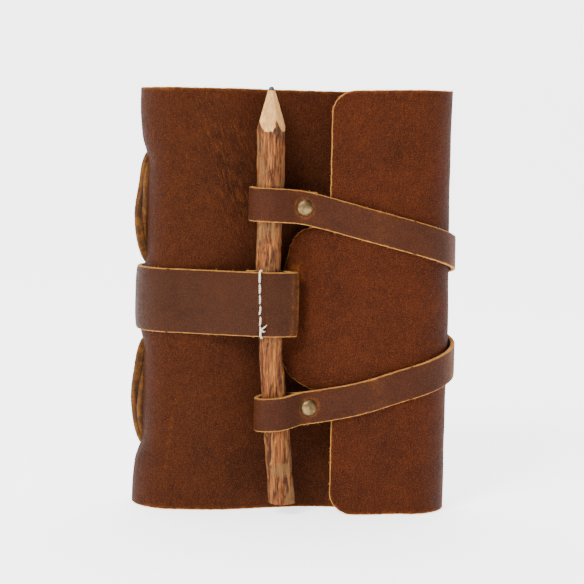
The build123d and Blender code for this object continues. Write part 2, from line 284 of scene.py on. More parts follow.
def belt_plan():
    """The belt's middle line: back panel, spine, front panel, loop, and the loop's return."""
    lift = GAP + STRAP / 2
    back = [(x, BACK_Y + lift) for x in np.linspace(BELT_SPLIT_X, SPINE[0], 20)]
    spine = arc(SPINE, SPINE_R + lift, 90, 270)
    over = [(-18, -24.2), (-13, -25.4), (-9.4, -25.8), (-5.8, -25.4), (-2.6, -24.4)]
    fold = arc((0.75, -22), 1.15, -90, 90, 15)
    centre = (-9.4, PENCIL_Y)
    touch = tangent_angle(fold[-1], centre, 6.5, 1)
    behind = arc(centre, 6.5, touch, 180)
    margin = [(-16.05, -21.1), (-16.9, -22.35), (-19, -21.95)]
    return Plan(back + spine + over + fold + behind + margin, -1)


HIDE_PLAN = hide_plan()
BELT_PLAN = belt_plan()
FOLD_FRONT_S = HIDE_PLAN.find(FOLD[0], 0, 80)
FOLD_MID_S = HIDE_PLAN.find(FOLD[0] + FOLD_R, 0, 120)
BACK_START_S = FOLD_FRONT_S + math.pi * FOLD_R
BACK_SPLIT_S = BACK_START_S + FOLD[0] - BACK_SPLIT_X
SPINE_START_S = BACK_START_S + FOLD[0] - SPINE[0]
SPINE_MID_S = SPINE_START_S + math.pi * SPINE_R / 2
FRONT_START_S = SPINE_START_S + math.pi * SPINE_R


# ---- sheet meshes
def resample(outline, step):
    """Points at even steps round a closed outline, keeping its corners."""
    out = []
    corners = np.array(outline, float)
    for a, b in zip(corners, np.roll(corners, -1, axis=0)):
        k = max(int(round(np.linalg.norm(b - a) / step)), 1)
        out += [a + (b - a) * j / k for j in range(k)]
    return np.array(out)


def inside(points, poly):
    x, y = points[:, 0], points[:, 1]
    hit = np.zeros(len(points), bool)
    for (x0, y0), (x1, y1) in zip(poly, np.roll(poly, -1, axis=0)):
        if y0 == y1:
            continue
        cross = (y > min(y0, y1)) & (y <= max(y0, y1))
        hit ^= cross & (x < x0 + (y - y0) * (x1 - x0) / (y1 - y0))
    return hit


def nearest_gap(points, others):
    gaps = np.full(len(points), 1e9)
    for chunk in np.array_split(np.arange(len(points)), max(len(points) // 1500, 1)):
        d = points[chunk][:, None, :] - others[None, :, :]
        gaps[chunk] = np.sqrt((d**2).sum(2).min(1))
    return gaps


def fibres(ring, inward, free, place, seed):
    """Loose fibres that stand out of a raw edge: thin bent spikes, each a closed mesh."""
    rng = random.Random(seed)
    parts, flat = [], []
    spots = np.where(free)[0]
    for _ in range(int(len(spots) * EDGE_STEP * FIBRES_PER_MM)):
        i = spots[rng.randrange(len(spots))]
        if noise.noise(Vector((ring[i][0] / 9, ring[i][1] / 9, 4))) < rng.uniform(-0.5, 0.3):
            continue
        out = -inward[i]
        along = np.array([-out[1], out[0]])
        size = rng.uniform(0.35, 1)
        lean, curl = rng.uniform(-0.9, 0.9), rng.uniform(-0.9, 0.9)
        depth, sweep = rng.uniform(0.15, 0.85), rng.uniform(-0.4, 0.4)
        thick = rng.uniform(0.05, 0.09)
        t = np.linspace(0, 1, 5)
        line = ring[i] + np.outer(size * t - 0.25, out) + np.outer(size * (lean * t + curl * t**2), along)
        mid = place(*line.T, depth + sweep * t)
        parts.append(tube(mid, thick, 4, thick, 0.02))
        flat += [tuple(ring[i])] * len(parts[-1][0])
    points, faces = together(parts)
    return np.array(points), faces, np.array(flat)


def slab(name, outline, place, cuts, step, rough, fields, materials, chart=None):
    """A closed leather sheet. outline is in (length, height) millimetres. place(s, z, depth)
    gives points for depths from the outer face (0) to the inner face (1). cuts are the lengths
    where the sheet goes on in another piece, so that its end is cut square there. rough is how
    far its cut edge wanders. fields are named numbers that its material reads, and chart gives
    the grain's own coordinates."""
    ring = resample(outline, EDGE_STEP)
    area = np.sum(ring[:, 0] * np.roll(ring[:, 1], -1) - np.roll(ring[:, 0], -1) * ring[:, 1])
    if area < 0:
        ring = ring[::-1]
    way = unit(np.roll(ring, -1, axis=0) - np.roll(ring, 1, axis=0))
    inward = np.stack([-way[:, 1], way[:, 0]], 1)
    flush = np.min([abs(ring[:, 0] - at) for at in cuts], 0) < 0.01
    wobble = rough * (wavy(*ring.T, 1.7, 3.1) + 0.6 * wavy(*ring.T, 6, 9))
    ring = ring - inward * np.where(flush, 0, wobble)[:, None]
    skin = ring + inward * np.where(flush, 0, BEVEL)[:, None]
    low, high = skin.min(0), skin.max(0)
    rows = int((high[1] - low[1]) / (step * 0.87)) + 1
    grid = []
    for r in range(rows + 1):
        z = low[1] + (high[1] - low[1]) * r / rows
        grid += [(x, z) for x in np.arange(low[0] + (r % 2) * step / 2, high[0], step)]
    grid = np.array(grid)
    grid = grid[inside(grid, skin)]
    grid = grid[nearest_gap(grid, skin) > 0.55 * step]
    flat = np.vstack([skin, grid])
    n_ring = len(skin)
    verts, _, faces, orig, _, _ = delaunay_2d_cdt(
        [Vector(p) for p in flat], [], [list(range(n_ring))], 1, 1e-7
    )
    sz = np.array([tuple(v) for v in verts])
    where = {o: i for i, source in enumerate(orig) for o in source}
    rim = [where[i] for i in range(n_ring)]
    n = len(sz)
    outer = place(*sz.T, np.zeros(n))
    inner = place(*sz.T, np.ones(n))
    walls = []
    depths = (0.2, 0.5, 0.8)
    for k, d in enumerate(depths):
        bristle = np.where(flush, 0, 0.1 * wavy(*ring.T * 3, 1.1, 5 + k))
        line = ring - inward * bristle[:, None]
        walls.append(place(*line.T, np.full(n_ring, d)))
    points = np.vstack([outer, inner, *walls])
    tris = [tuple(f) for f in faces]
    faces_out = tris + [tuple(n + i for i in reversed(f)) for f in tris]
    rings = [rim] + [[2 * n + k * n_ring + i for i in range(n_ring)] for k in range(len(depths))]
    rings.append([n + i for i in rim])
    for a, b in zip(rings, rings[1:]):
        for i in range(n_ring):
            j = (i + 1) % n_ring
            faces_out.append((a[i], b[i], b[j], a[j]))
    flat_all = np.vstack([sz, sz] + [ring] * len(depths))
    hairs, hair_faces, hair_flat = fibres(ring, inward, ~flush, place, name)
    if len(hairs):
        faces_out += [tuple(len(points) + i for i in f) for f in hair_faces]
        points = np.vstack([points, hairs])
        flat_all = np.vstack([flat_all, hair_flat])
    piece = build(name, points, faces_out, materials)
    mesh = piece.data
    kind = np.full(len(faces_out), 2, np.int32)
    kind[:len(tris)], kind[len(tris):2 * len(tris)] = 0, 1
    mesh.polygons.foreach_set("material_index", kind)
    worn = np.zeros(len(points))
    worn[[i for k, i in enumerate(rim) if not flush[k]]] = 1
    worn[2 * n:] = 1
    store(mesh, rim=worn, **{field: value(*flat_all.T) for field, value in fields.items()})
    if chart:
        flat_all = chart(flat_all)
    uv = mesh.uv_layers.new(name="flat")
    corner = np.empty(len(mesh.loops), np.int32)
    mesh.loops.foreach_get("vertex_index", corner)
    uv.data.foreach_set("uv", (flat_all[corner] / 100).astype(np.float32).ravel())
    ends = {side + i for k, i in enumerate(rim) if flush[k] for side in (0, n)}
    sharp = [e.vertices[0] in ends and e.vertices[1] in ends for e in mesh.edges]
    layer = mesh.attributes.new("sharp_edge", "BOOLEAN", "EDGE")
    layer.data.foreach_set("value", np.array(sharp, bool))
    return piece


# ---- pieces
def link(name, data):
    thing = bpy.data.objects.new(name, data)
    bpy.context.scene.collection.objects.link(thing)
    return thing


def smooth_mesh(name, points, faces, materials):
    mesh = bpy.data.meshes.new(name)
    mesh.from_pydata(points, [], faces)
    for material in materials:
        mesh.materials.append(material)
    mesh.polygons.foreach_set("use_smooth", np.ones(len(faces), bool))
    return mesh


def build(name, points, faces, materials):
    """A smooth piece from points in book millimetres, with its faces turned outwards."""
    mesh = smooth_mesh(name, metres(points).tolist(), faces, materials)
    bm = bmesh.new()
    bm.from_mesh(mesh)
    bmesh.ops.recalc_face_normals(bm, faces=bm.faces)
    bm.to_mesh(mesh)
    bm.free()
    mesh.update()
    return link(name, mesh)


def store(mesh, **values):
    """Numbers from 0 to 1, one for each point, that a material reads by name."""
    for name, value in values.items():
        layer = mesh.attributes.new(name, "FLOAT", "POINT")
        layer.data.foreach_set("value", np.clip(value, 0, 1).astype(np.float32))


def bend(piece, slot, low, high, start, end, *nodes):
    """A piece whose placement is baked into its points, with the CAD nodes it stands for hidden; nothing
    bends it. slot, low and high are not used, and start and end only pass through spot, whose result is
    dropped.
    """
    spot(*start)
    spot(*end)
    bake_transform(piece)
    if nodes:
        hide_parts(*nodes)


def claim(piece, slot, body, *nodes):
    """A rigid piece: what it rides on, and the CAD nodes it stands for. slot, what it is made of, is not
    used.
    """
    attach(piece, body)
    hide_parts(*nodes)


# ---- materials
class Nodes:
    """A short way to write a node material."""

    def __init__(self, name):
        self.material = bpy.data.materials.new(name)
        self.material.use_nodes = True
        self.tree = self.material.node_tree
        self.shader = next(n for n in self.tree.nodes if n.type == "BSDF_PRINCIPLED")
        self.flat = self.add("UVMap", uv_map="flat").outputs[0]
        self.solid = self.add("TexCoord").outputs["Object"]

    def add(self, kind, inputs=None, **fields):
        node = self.tree.nodes.new("ShaderNode" + kind)
        for key, value in fields.items():
            setattr(node, key, value)
        for key, value in (inputs or {}).items():
            self.put(node.inputs[key], value)
        return node

    def put(self, socket, value):
        if isinstance(value, bpy.types.NodeSocket):
            self.tree.links.new(value, socket)
        elif isinstance(value, tuple) and len(value) == 3 and socket.type == "RGBA":
            socket.default_value = (*value, 1)
        else:
            socket.default_value = value

    def stretch(self, source, scale):
        return self.add("Mapping", {"Vector": source, "Scale": scale}).outputs[0]

    def noise(self, source, scale, detail=3, rough=0.55, warp=0):
        inputs = {"Vector": source, "Scale": scale, "Detail": detail, "Roughness": rough, "Distortion": warp}
        return self.add("TexNoise", inputs).outputs[0]

    def cells(self, source, scale, feature="F1"):
        node = self.add("TexVoronoi", {"Vector": source, "Scale": scale}, feature=feature)
        return node.outputs["Distance"]

    def ramp(self, value, low, high, out_low=0, out_high=1):
        inputs = {"Value": value, "From Min": low, "From Max": high, "To Min": out_low, "To Max": out_high}
        return self.add("MapRange", inputs, interpolation_type="SMOOTHSTEP").outputs[0]

    def mix(self, share, a, b, blend="MIX"):
        node = self.add("Mix", data_type="RGBA", blend_type=blend)
        self.put(node.inputs[0], share)
        self.put(node.inputs[6], a)
        self.put(node.inputs[7], b)
        return node.outputs[2]

    def tints(self, tone, *layers):
        """Colours laid over a tone, each (source, low, high, greatest share, colour)."""
        for source, low, high, share, color in layers:
            tone = self.mix(self.ramp(source, low, high, 0, share), tone, color)
        return tone

    def times(self, a, b, how="MULTIPLY"):
        node = self.add("Math", operation=how)
        self.put(node.inputs[0], a)
        self.put(node.inputs[1], b)
        return node.outputs[0]

    def attribute(self, name):
        return self.add("Attribute", attribute_name=name).outputs["Fac"]

    def bumps(self, *layers):
        """Bump layers, each (height, distance in metres, strength)."""
        normal = None
        for height, distance, strength in layers:
            inputs = {"Height": height, "Distance": distance, "Strength": strength}
            if normal is not None:
                inputs["Normal"] = normal
            normal = self.add("Bump", inputs).outputs[0]
        return normal

    def finish(self, color, rough, normal=None, **more):
        self.put(self.shader.inputs["Base Color"], color)
        self.put(self.shader.inputs["Roughness"], rough)
        if normal is not None:
            self.put(self.shader.inputs["Normal"], normal)
        for key, value in more.items():
            self.put(self.shader.inputs[key.replace("_", " ")], value)
        return self.material


def leather(name, dark, mid, light, pull, rough, streak, grain, shine_level):
    """Waxed pull-up leather: mottled, with a fibre grain, pale where it is bent or rubbed, and with painted
    shade in the troughs of its wrinkles.
    """
    n = Nodes(name)
    flat = n.flat
    cloud = n.noise(flat, 3.2, 4, 0.6)
    patch = n.noise(flat, 11, 4, 0.62, 0.6)
    mottle = n.noise(flat, 46, 4, 0.65, 0.4)
    fibre = n.noise(n.stretch(flat, (1, 0.34, 1)), 120, 5, 0.7, 1.1)
    hair = n.noise(n.stretch(flat, (1, 0.6, 1)), 430, 2, 0.5, 0.8)
    pores = n.cells(n.stretch(flat, (1, 0.75, 1)), 330, "DISTANCE_TO_EDGE")
    slant = n.add("Mapping", {"Vector": flat, "Rotation": (0, 0, math.radians(-18))})
    folds = n.noise(n.stretch(slant.outputs[0], (1, 0.08, 1)), 210, 2, 0.55, 0.6)
    glint = tuple(a * 0.55 + b * 0.45 for a, b in zip(light, pull))
    tone = n.tints(
        n.mix(n.ramp(cloud, 0.3, 0.58), dark, mid),
        (patch, 0.44, 0.72, 0.35, light),
        (mottle, 0.5, 0.74, 0.3, light),
        (mottle, 0.46, 0.24, 0.35, dark),
        (fibre, 0.5, 0.68, streak, light),
        (fibre, 0.5, 0.34, streak, dark),
        (hair, 0.5, 0.68, 0.85 * grain, glint),
        (hair, 0.47, 0.32, 0.95 * grain, dark),
        (pores, 0.12, 0, 0.7 * grain, dark),
    )
    slanting = n.attribute("wrinkle")
    # Over the wrinkles the crests are mixed towards glint as pull-up paleness, and the troughs are mixed
    # towards dark as painted shade in the creases.
    tone = n.mix(n.times(n.ramp(folds, 0.54, 0.68, 0, 0.5), slanting), tone, glint)
    tone = n.mix(n.times(n.ramp(folds, 0.48, 0.34, 0, 0.6), slanting), tone, dark)
    wear = n.attribute("wear")
    scatter = n.times(n.ramp(mottle, 0.3, 0.7, 0.5, 1.3), n.ramp(fibre, 0.3, 0.7, 0.75, 1.2))
    rim = n.times(n.attribute("rim"), n.ramp(mottle, 0.35, 0.6, 0.35, 1))
    tone = n.tints(tone, (n.times(wear, scatter), 0.05, 1, 1, pull), (rim, 0.45, 1, 0.55, pull))
    redder = n.mix(1, tone, (1.16, 1.06, 1.06), "MULTIPLY")
    tone = n.mix(n.attribute("warm"), tone, redder)
    shine = n.times(n.ramp(mottle, 0.3, 0.7, rough - 0.07, rough + 0.09), n.ramp(wear, 0, 1, 0, 0.12), "ADD")
    normal = n.bumps(
        (patch, 0.0016, 0.3), (mottle, 0.0006, 0.4), (n.times(folds, slanting), 0.0008, 0.6),
        (fibre, 0.0005, 0.8), (pores, 0.0004, 0.6), (hair, 0.0004, 0.8),
    )
    return n.finish(tone, shine, normal, Specular_IOR_Level=shine_level)


def suede(name, base, pale, dark, coarse=1):
    """The rough flesh side, a cut edge, or a suede thong."""
    n = Nodes(name)
    fur = n.noise(n.solid, 900 * coarse, 3, 0.7, 1)
    clump = n.noise(n.solid, 420 * coarse, 4, 0.6, 0.5)
    wide = n.noise(n.solid, 45, 3, 0.5)
    tone = n.tints(
        base, (clump, 0.36, 0.74, 0.8, pale), (fur, 0.52, 0.28, 0.7, dark), (wide, 0.45, 0.75, 0.25, dark)
    )
    normal = n.bumps((clump, 0.0006, 0.6), (fur, 0.0003, 0.8))
    return n.finish(tone, 0.88, normal, Sheen_Weight=0.06, Sheen_Roughness=0.6, Specular_IOR_Level=0.15)


def paper(name):
    n = Nodes(name)
    fleck = n.noise(n.solid, 700, 3, 0.6)
    cloud = n.noise(n.solid, 60, 3, 0.5)
    tone = n.mix(n.ramp(cloud, 0.35, 0.7), (0.66, 0.5, 0.29), (0.76, 0.62, 0.4))
    tone = n.mix(n.ramp(fleck, 0.62, 0.75, 0, 0.3), tone, (0.48, 0.33, 0.17))
    return n.finish(tone, 0.85, n.bumps((fleck, 0.0001, 0.4), (cloud, 0.0006, 0.3)), Specular_IOR_Level=0.25)


def bark(name):
    """Rough red-brown bark, greyer in patches, with pale cut wood where the knife took it off."""
    n = Nodes(name)
    tall = lambda share: n.stretch(n.solid, (1, 1, share))
    ridge = n.noise(tall(0.14), 420, 5, 0.65, 1.2)
    thread = n.noise(tall(0.08), 850, 5, 0.68, 0.8)
    flake = n.cells(tall(0.2), 330)
    patch = n.noise(n.solid, 75, 4, 0.6, 0.8)
    tone = n.tints(
        (0.04, 0.01, 0.0026),
        (ridge, 0.4, 0.6, 1, (0.165, 0.05, 0.0125)),
        (thread, 0.5, 0.64, 0.8, (0.36, 0.132, 0.028)),
        (patch, 0.48, 0.62, 0.6, (0.165, 0.082, 0.026)),
        (flake, 0.08, 0, 0.7, (0.014, 0.0045, 0.0016)),
        (thread, 0.46, 0.33, 0.9, (0.02, 0.006, 0.002)),
    )
    tone = n.mix(n.attribute("knot"), tone, (0.035, 0.018, 0.012))
    grain = n.noise(tall(0.05), 1500, 3, 0.6, 0.4)
    wide = n.noise(tall(0.1), 260, 3, 0.6)
    wood = n.mix(n.ramp(grain, 0.35, 0.7), (0.46, 0.215, 0.06), (0.68, 0.39, 0.135))
    wood = n.tints(wood, (wide, 0.5, 0.75, 0.5, (0.4, 0.18, 0.055)))
    cut = n.attribute("cut")
    tone = n.mix(n.ramp(cut, 0.35, 0.65), tone, wood)
    rough = n.ramp(cut, 0, 1, 0.82, 0.6)
    normal = n.bumps(
        (ridge, 0.0009, 0.8), (thread, 0.0007, 1), (flake, 0.0006, 0.7), (grain, 0.00008, 0.3)
    )
    return n.finish(tone, rough, normal, Specular_IOR_Level=0.2)


def metal(name, bright, dull, dark):
    """Antique brass: dull in the hollows, brighter where it is rubbed."""
    n = Nodes(name)
    cloud = n.noise(n.solid, 420, 4, 0.6)
    fine = n.noise(n.solid, 2200, 3, 0.6)
    pits = n.cells(n.solid, 1500)
    tone = n.mix(n.ramp(cloud, 0.35, 0.68), dull, bright)
    tone = n.mix(n.ramp(fine, 0.58, 0.75, 0, 0.6), tone, dark)
    rough = n.ramp(cloud, 0.3, 0.7, 0.5, 0.33)
    normal = n.bumps((cloud, 0.0002, 0.4), (fine, 0.00006, 0.4), (pits, 0.00004, 0.3))
    return n.finish(tone, rough, normal, Metallic=0.92)


def thread_cloth(name):
    n = Nodes(name)
    lint = n.noise(n.solid, 3000, 3, 0.6)
    tone = n.mix(n.ramp(lint, 0.35, 0.7), (0.42, 0.32, 0.22), (0.72, 0.64, 0.52))
    return n.finish(tone, 0.8, n.bumps((lint, 0.00012, 0.6)), Sheen_Weight=0.2)


def graphite(name):
    n = Nodes(name)
    streak = n.noise(n.solid, 2500, 3, 0.6)
    tone = n.mix(n.ramp(streak, 0.3, 0.7), (0.018, 0.018, 0.02), (0.06, 0.06, 0.065))
    return n.finish(tone, n.ramp(streak, 0.3, 0.7, 0.3, 0.5), n.bumps((streak, 0.00004, 0.5)), Metallic=0.35)


def plain(name, tone, rough, glow):
    """The studio's white paper, lit a little from behind."""
    n = Nodes(name)
    cloud = n.noise(n.solid, 2, 2, 0.5)
    shade = n.mix(n.ramp(cloud, 0.3, 0.7), tone, tuple(min(c * 1.02, 1) for c in tone))
    return n.finish(shade, rough, Emission_Color=(1, 1, 1), Emission_Strength=glow)


HIDE_SKIN = leather(
    "hide_skin", (0.015, 0.0033, 0.0009), (0.039, 0.0083, 0.0019), (0.078, 0.018, 0.004),
    (0.21, 0.062, 0.012), rough=0.6, streak=0.9, grain=0.9, shine_level=0.055,
)
STRAP_SKIN = leather(
    "strap_skin", (0.02, 0.0054, 0.0021), (0.036, 0.01, 0.0034), (0.06, 0.0165, 0.0042),
    (0.2, 0.062, 0.009), rough=0.5, streak=0.6, grain=0.7, shine_level=0.085,
)
FLESH = suede("flesh_side", (0.075, 0.018, 0.003), (0.13, 0.038, 0.006), (0.03, 0.007, 0.0012))
RAW_EDGE = suede("raw_edge", (0.3, 0.115, 0.014), (0.52, 0.25, 0.04), (0.08, 0.024, 0.003), 1.4)
THONG = suede("suede_thong", (0.05, 0.015, 0.0011), (0.15, 0.052, 0.0035), (0.01, 0.0026, 0.0004), 0.7)
PAPER = paper("cream_paper")
HIDE_SKINS = (HIDE_SKIN, FLESH, RAW_EDGE)
STRAP_SKINS = (STRAP_SKIN, FLESH, RAW_EDGE)
BARK = bark("twig_bark")
BRASS = metal("antique_brass", (0.19, 0.122, 0.052), (0.07, 0.042, 0.018), (0.024, 0.014, 0.006))
THREAD = thread_cloth("waxed_thread")
GRAPHITE = graphite("graphite")


# ---- the hide
def crease(s, z, s0, z0, s1, z1, width):
    """How near a point is to a straight crease line, 0 to 1."""
    along = ((s - s0) * (s1 - s0) + (z - z0) * (z1 - z0)) / ((s1 - s0) ** 2 + (z1 - z0) ** 2)
    t = np.clip(along, 0, 1)
    gap = np.hypot(s - s0 - t * (s1 - s0), z - z0 - t * (z1 - z0))
    fade = np.clip(1.15 - 1.6 * abs(t - 0.5), 0, 1)
    return np.exp(-((gap / width) ** 2)) * fade


def front_s(x):
    """Length along the hide for a place on the front panel."""
    return HIDE_PLAN.find(x, FRONT_START_S - 25)


CREASES = [
    (-44, 176, -32, 150, 0.9), (-36, 170, -22, 128, 0.8), (-30, 176, -20, 146, 0.7),
    (-27, 150, -17, 108, 0.8), (-50, 165, -40, 132, 0.7), (-22, 178, -18, 150, 0.6),
    (-38, 128, -24, 102, 0.6), (-44, 46, -30, 70, 0.6), (-40, 8, -28, 40, 0.6), (-52, 10, -46, 60, 0.8),
]
CREASE_LINES = [(front_s(a), b, front_s(c), d, w) for a, b, c, d, w in CREASES]


def hide_relief(s, z):
    """How far the hide stands out from its plan line: lie of the leather, pinch and creases."""
    lift = 0.55 * wavy(s, z, 55, 1) + 0.22 * wavy(s, z, 17, 2)
    ends = 1 - smooth(6, 28, z) + smooth(146, 172, z)
    laced = smooth(18, 30, z) * (1 - smooth(66, 78, z)) + smooth(96, 108, z) * (1 - smooth(146, 158, z))
    lift += (1.7 * ends - 2.3 * laced) * bump(s, SPINE_MID_S, 15)
    for *ends, width in CREASE_LINES:
        lift -= 0.16 * crease(s, z, *ends, width)
    return lift


def hide_place(s, z, depth):
    x, y, nx, ny = HIDE_PLAN.at(s)
    out = hide_relief(s, z) - HIDE * depth
    flap_side = smooth(20, 60, s) * (1 - smooth(BACK_START_S, BACK_SPLIT_S, s))
    edge = 0.25 * wavy(s, z, 40, 7) + 1.1 * flap_side
    floor = np.clip(z / 40, 0, 1)
    return np.stack([x + nx * out, y + ny * out, z + edge * floor], 1)


def hide_wear(s, z):
    """Pull-up paleness: by the cut edges, at the folds, along creases."""
    amount = 0.5 * (bump(z, 0, 1.3) + bump(z, HEIGHT, 1.3)) + 0.4 * bump(s, FRONT_START_S + 109, 1.5)
    amount += 0.16 * bump(s, FOLD_MID_S, 6) + 0.1 * bump(s, SPINE_MID_S + 20, 6)
    for *ends, width in CREASE_LINES:
        amount += 0.3 * crease(s, z, *ends, width * 0.8)
    return amount


def flap_wear(s, z):
    rubbed = bump(s, 5, 4) * bump(z, 104.2, 2.2) + 0.6 * bump(s, 9, 3) * bump(z, 101.2, 4)
    return hide_wear(s, z) + 0.42 * rubbed


def warm(s, z):
    """The flap's side of the hide is a little redder and lighter than the rest."""
    return 1 - smooth(FOLD_MID_S - 4, BACK_SPLIT_S, s)


def wrinkle(s, z):
    """Where fine slanting wrinkles run over the front panel, beside the pencil. The leather makes their
    crests paler with pull-up and darkens their troughs with painted shade.
    """
    band = 0
    for x0, z0, x1, z1, width in ((-37, 176, -17, 108, 9), (-28, 172, -18, 140, 7), (-24, 108, -15, 84, 4)):
        band = np.maximum(band, crease(s, z, front_s(x0), z0, front_s(x1), z1, width))
    return band


# Where the spine turns into the front panel.
SHOULDER = ((-57.8, -10.9, 89), (-56.2, -17.5, 89))
FLAP_FIELDS = {"wear": flap_wear, "warm": warm, "wrinkle": wrinkle}
HIDE_FIELDS = {"wear": hide_wear, "warm": warm, "wrinkle": wrinkle}


def flap_outline():
    """The flap and tongue in x and height."""
    top, low, r, small = 14.6, 17.1, 9.5, 4
    tip = [
        (10, 121.9), (6.5, 121.3), (3.6, 120.2), (0.4, 117.2), (-1.6, 113), (-3.1, 107), (-4.5, 101.5),
        (-5.3, 96), (-5.6, 88), (-5.3, 78), (-4.9, 72), (-4.3, 67), (-3.3, 62.8), (-1.9, 60),
        (0.2, 57.3), (3.6, 55.3), (7.6, 53.6), (11, 53),
    ]
    above = arc((top + r, HEIGHT - r), r, 90, 180, 9) + [(top, 140)]
    below = [(low, 30)] + arc((low + r, r), r, 180, 270, 9)
    above += arc((top - small, 125.9), small, 0, -90, 9)
    tip += arc((low - small, 49), small, 90, 0, 9)
    return above + tip + below


def make_hide():
    """The hide in three pieces, each crossing one fold of the cover."""
    tongue = [(HIDE_PLAN.find(x, 0, FOLD_FRONT_S), z) for x, z in flap_outline()]
    flap = [(FOLD_MID_S, HEIGHT)] + tongue + [(FOLD_MID_S, 0)]
    sections = (
        ("flap", flap, (FOLD_MID_S,), FLAP_FIELDS),
        ("fore_edge", upright(FOLD_MID_S, BACK_SPLIT_S), (FOLD_MID_S, BACK_SPLIT_S), HIDE_FIELDS),
        ("spine", upright(BACK_SPLIT_S, HIDE_PLAN.length), (BACK_SPLIT_S,), HIDE_FIELDS),
    )
    flap, fore_edge, spine = (
        slab(f"hide_{name}", outline, hide_place, cuts, SKIN_STEP, HIDE_WANDER, fields, HIDE_SKINS)
        for name, outline, cuts, fields in sections
    )
    z = 89
    bend(flap, "hide", "fore_edge", "flap", (66, -1, z), (52, -15, z), "cover_flap", "cover_fore_edge")
    bend(fore_edge, "hide", "back", "fore_edge", (52, 16, z), (66, 2, z))
    bend(spine, "hide", "back", "front", *SHOULDER, "cover_back", "cover_spine", "cover_front")


# ---- the belt
def strap_place(plan, middle, seed, lift):
    """Places a strap whose outline is in (length, offset from its middle line)."""

    def place(s, w, depth):
        x, y, nx, ny = plan.at(s)
        relief = STRAP_RELIEF * wavy(s, w, 14, seed) - 0.05 * (abs(w) / 7) ** 4 + lift(s, w)
        out = STRAP * (0.5 - depth) + relief
        z = middle(s) + w + 0.15 * wavy(s, 0 * s, 25, seed + 1)
        return np.stack([x + nx * out, y + ny * out, z], 1)

    return place


def make_band():
    """The wide band: back and spine, then the front with its stitched loop."""
    plan = BELT_PLAN
    half = (BAND_Z[1] - BAND_Z[0]) / 2
    over_pencil = plan.find(-9.4, 120, 165)
    fold_s = plan.find(1.8, over_pencil, over_pencil + 14)
    split = plan.find(-51.5, plan.find(SPINE[0] - 18, 0) + 8)
    spine_s = plan.find(SPINE[0] - SPINE_R, 0)
    groove_s = plan.find(0.75, over_pencil, over_pencil + 12) + 0.8

    def lift(s, w):
        lip = 0.25 * bump(s, groove_s + 0.75, 0.35) - 0.45 * bump(s, groove_s, 0.28)
        return 0.2 * bump(s, spine_s, 14) + lip

    def wear(s, w):
        folded = 0.3 * bump(s, fold_s - 2.2, 1.5) + 0.7 * bump(s, groove_s + 0.8, 0.4)
        return 0.2 * bump(abs(w), half, 0.6) + folded

    place = strap_place(plan, lambda s: BELT_Z, 11, lift)
    fields = {"wear": wear, "warm": lambda s, w: 0 * s}
    chart = lambda flat: flat * (-1, 1) + (0, BELT_Z)
    loop = [
        (split, -half), (fold_s, -half), (plan.length, -half + 0.6), (plan.length, half + 0.5),
        (fold_s, half), (split, half),
    ]
    sections = (
        ("back_and_spine", upright(0, split, -half, half), (0, split), 1.3),
        ("band_front", loop, (split,), 0.75),
    )
    back, front = (
        slab(f"belt_{part}", outline, place, cuts, step, STRAP_WANDER, fields, STRAP_SKINS, chart)
        for part, outline, cuts, step in sections
    )
    bend(back, "strap", "back", "front", *SHOULDER, "belt_back", "belt_spine_wrap")
    bend(front, "strap", "front", "band", (-47, -17.5, 87), (-41, -18.5, 87), "belt_band")


def tail_middle(tail, plan):
    """Height of a tail's middle line along its length."""
    turn = plan.find(-99, 0, 60)
    front_end = plan.find(FOLD[0], turn + 20, turn + 90)
    points = [(plan.find(x, 0, turn), z) for x, z in tail["line"] if x < tail["end_x"]]
    points += [(plan.find(x, turn, front_end), z) for x, z in tail["line"][1:]]
    quarter = math.pi / 2 * (FOLD_R + GAP + STRAP / 2)
    points += [(front_end + quarter, tail["wrap"][1]), (front_end + 2 * quarter, tail["wrap"][2])]
    points += [(plan.length, tail["root_z"])]
    s, z = np.array(sorted(points)).T
    fine = np.linspace(0, plan.length, 400)
    line = np.interp(fine, s, z)
    soften(line, 60)
    return (lambda t: np.interp(t, fine, line)), turn, front_end, front_end + quarter


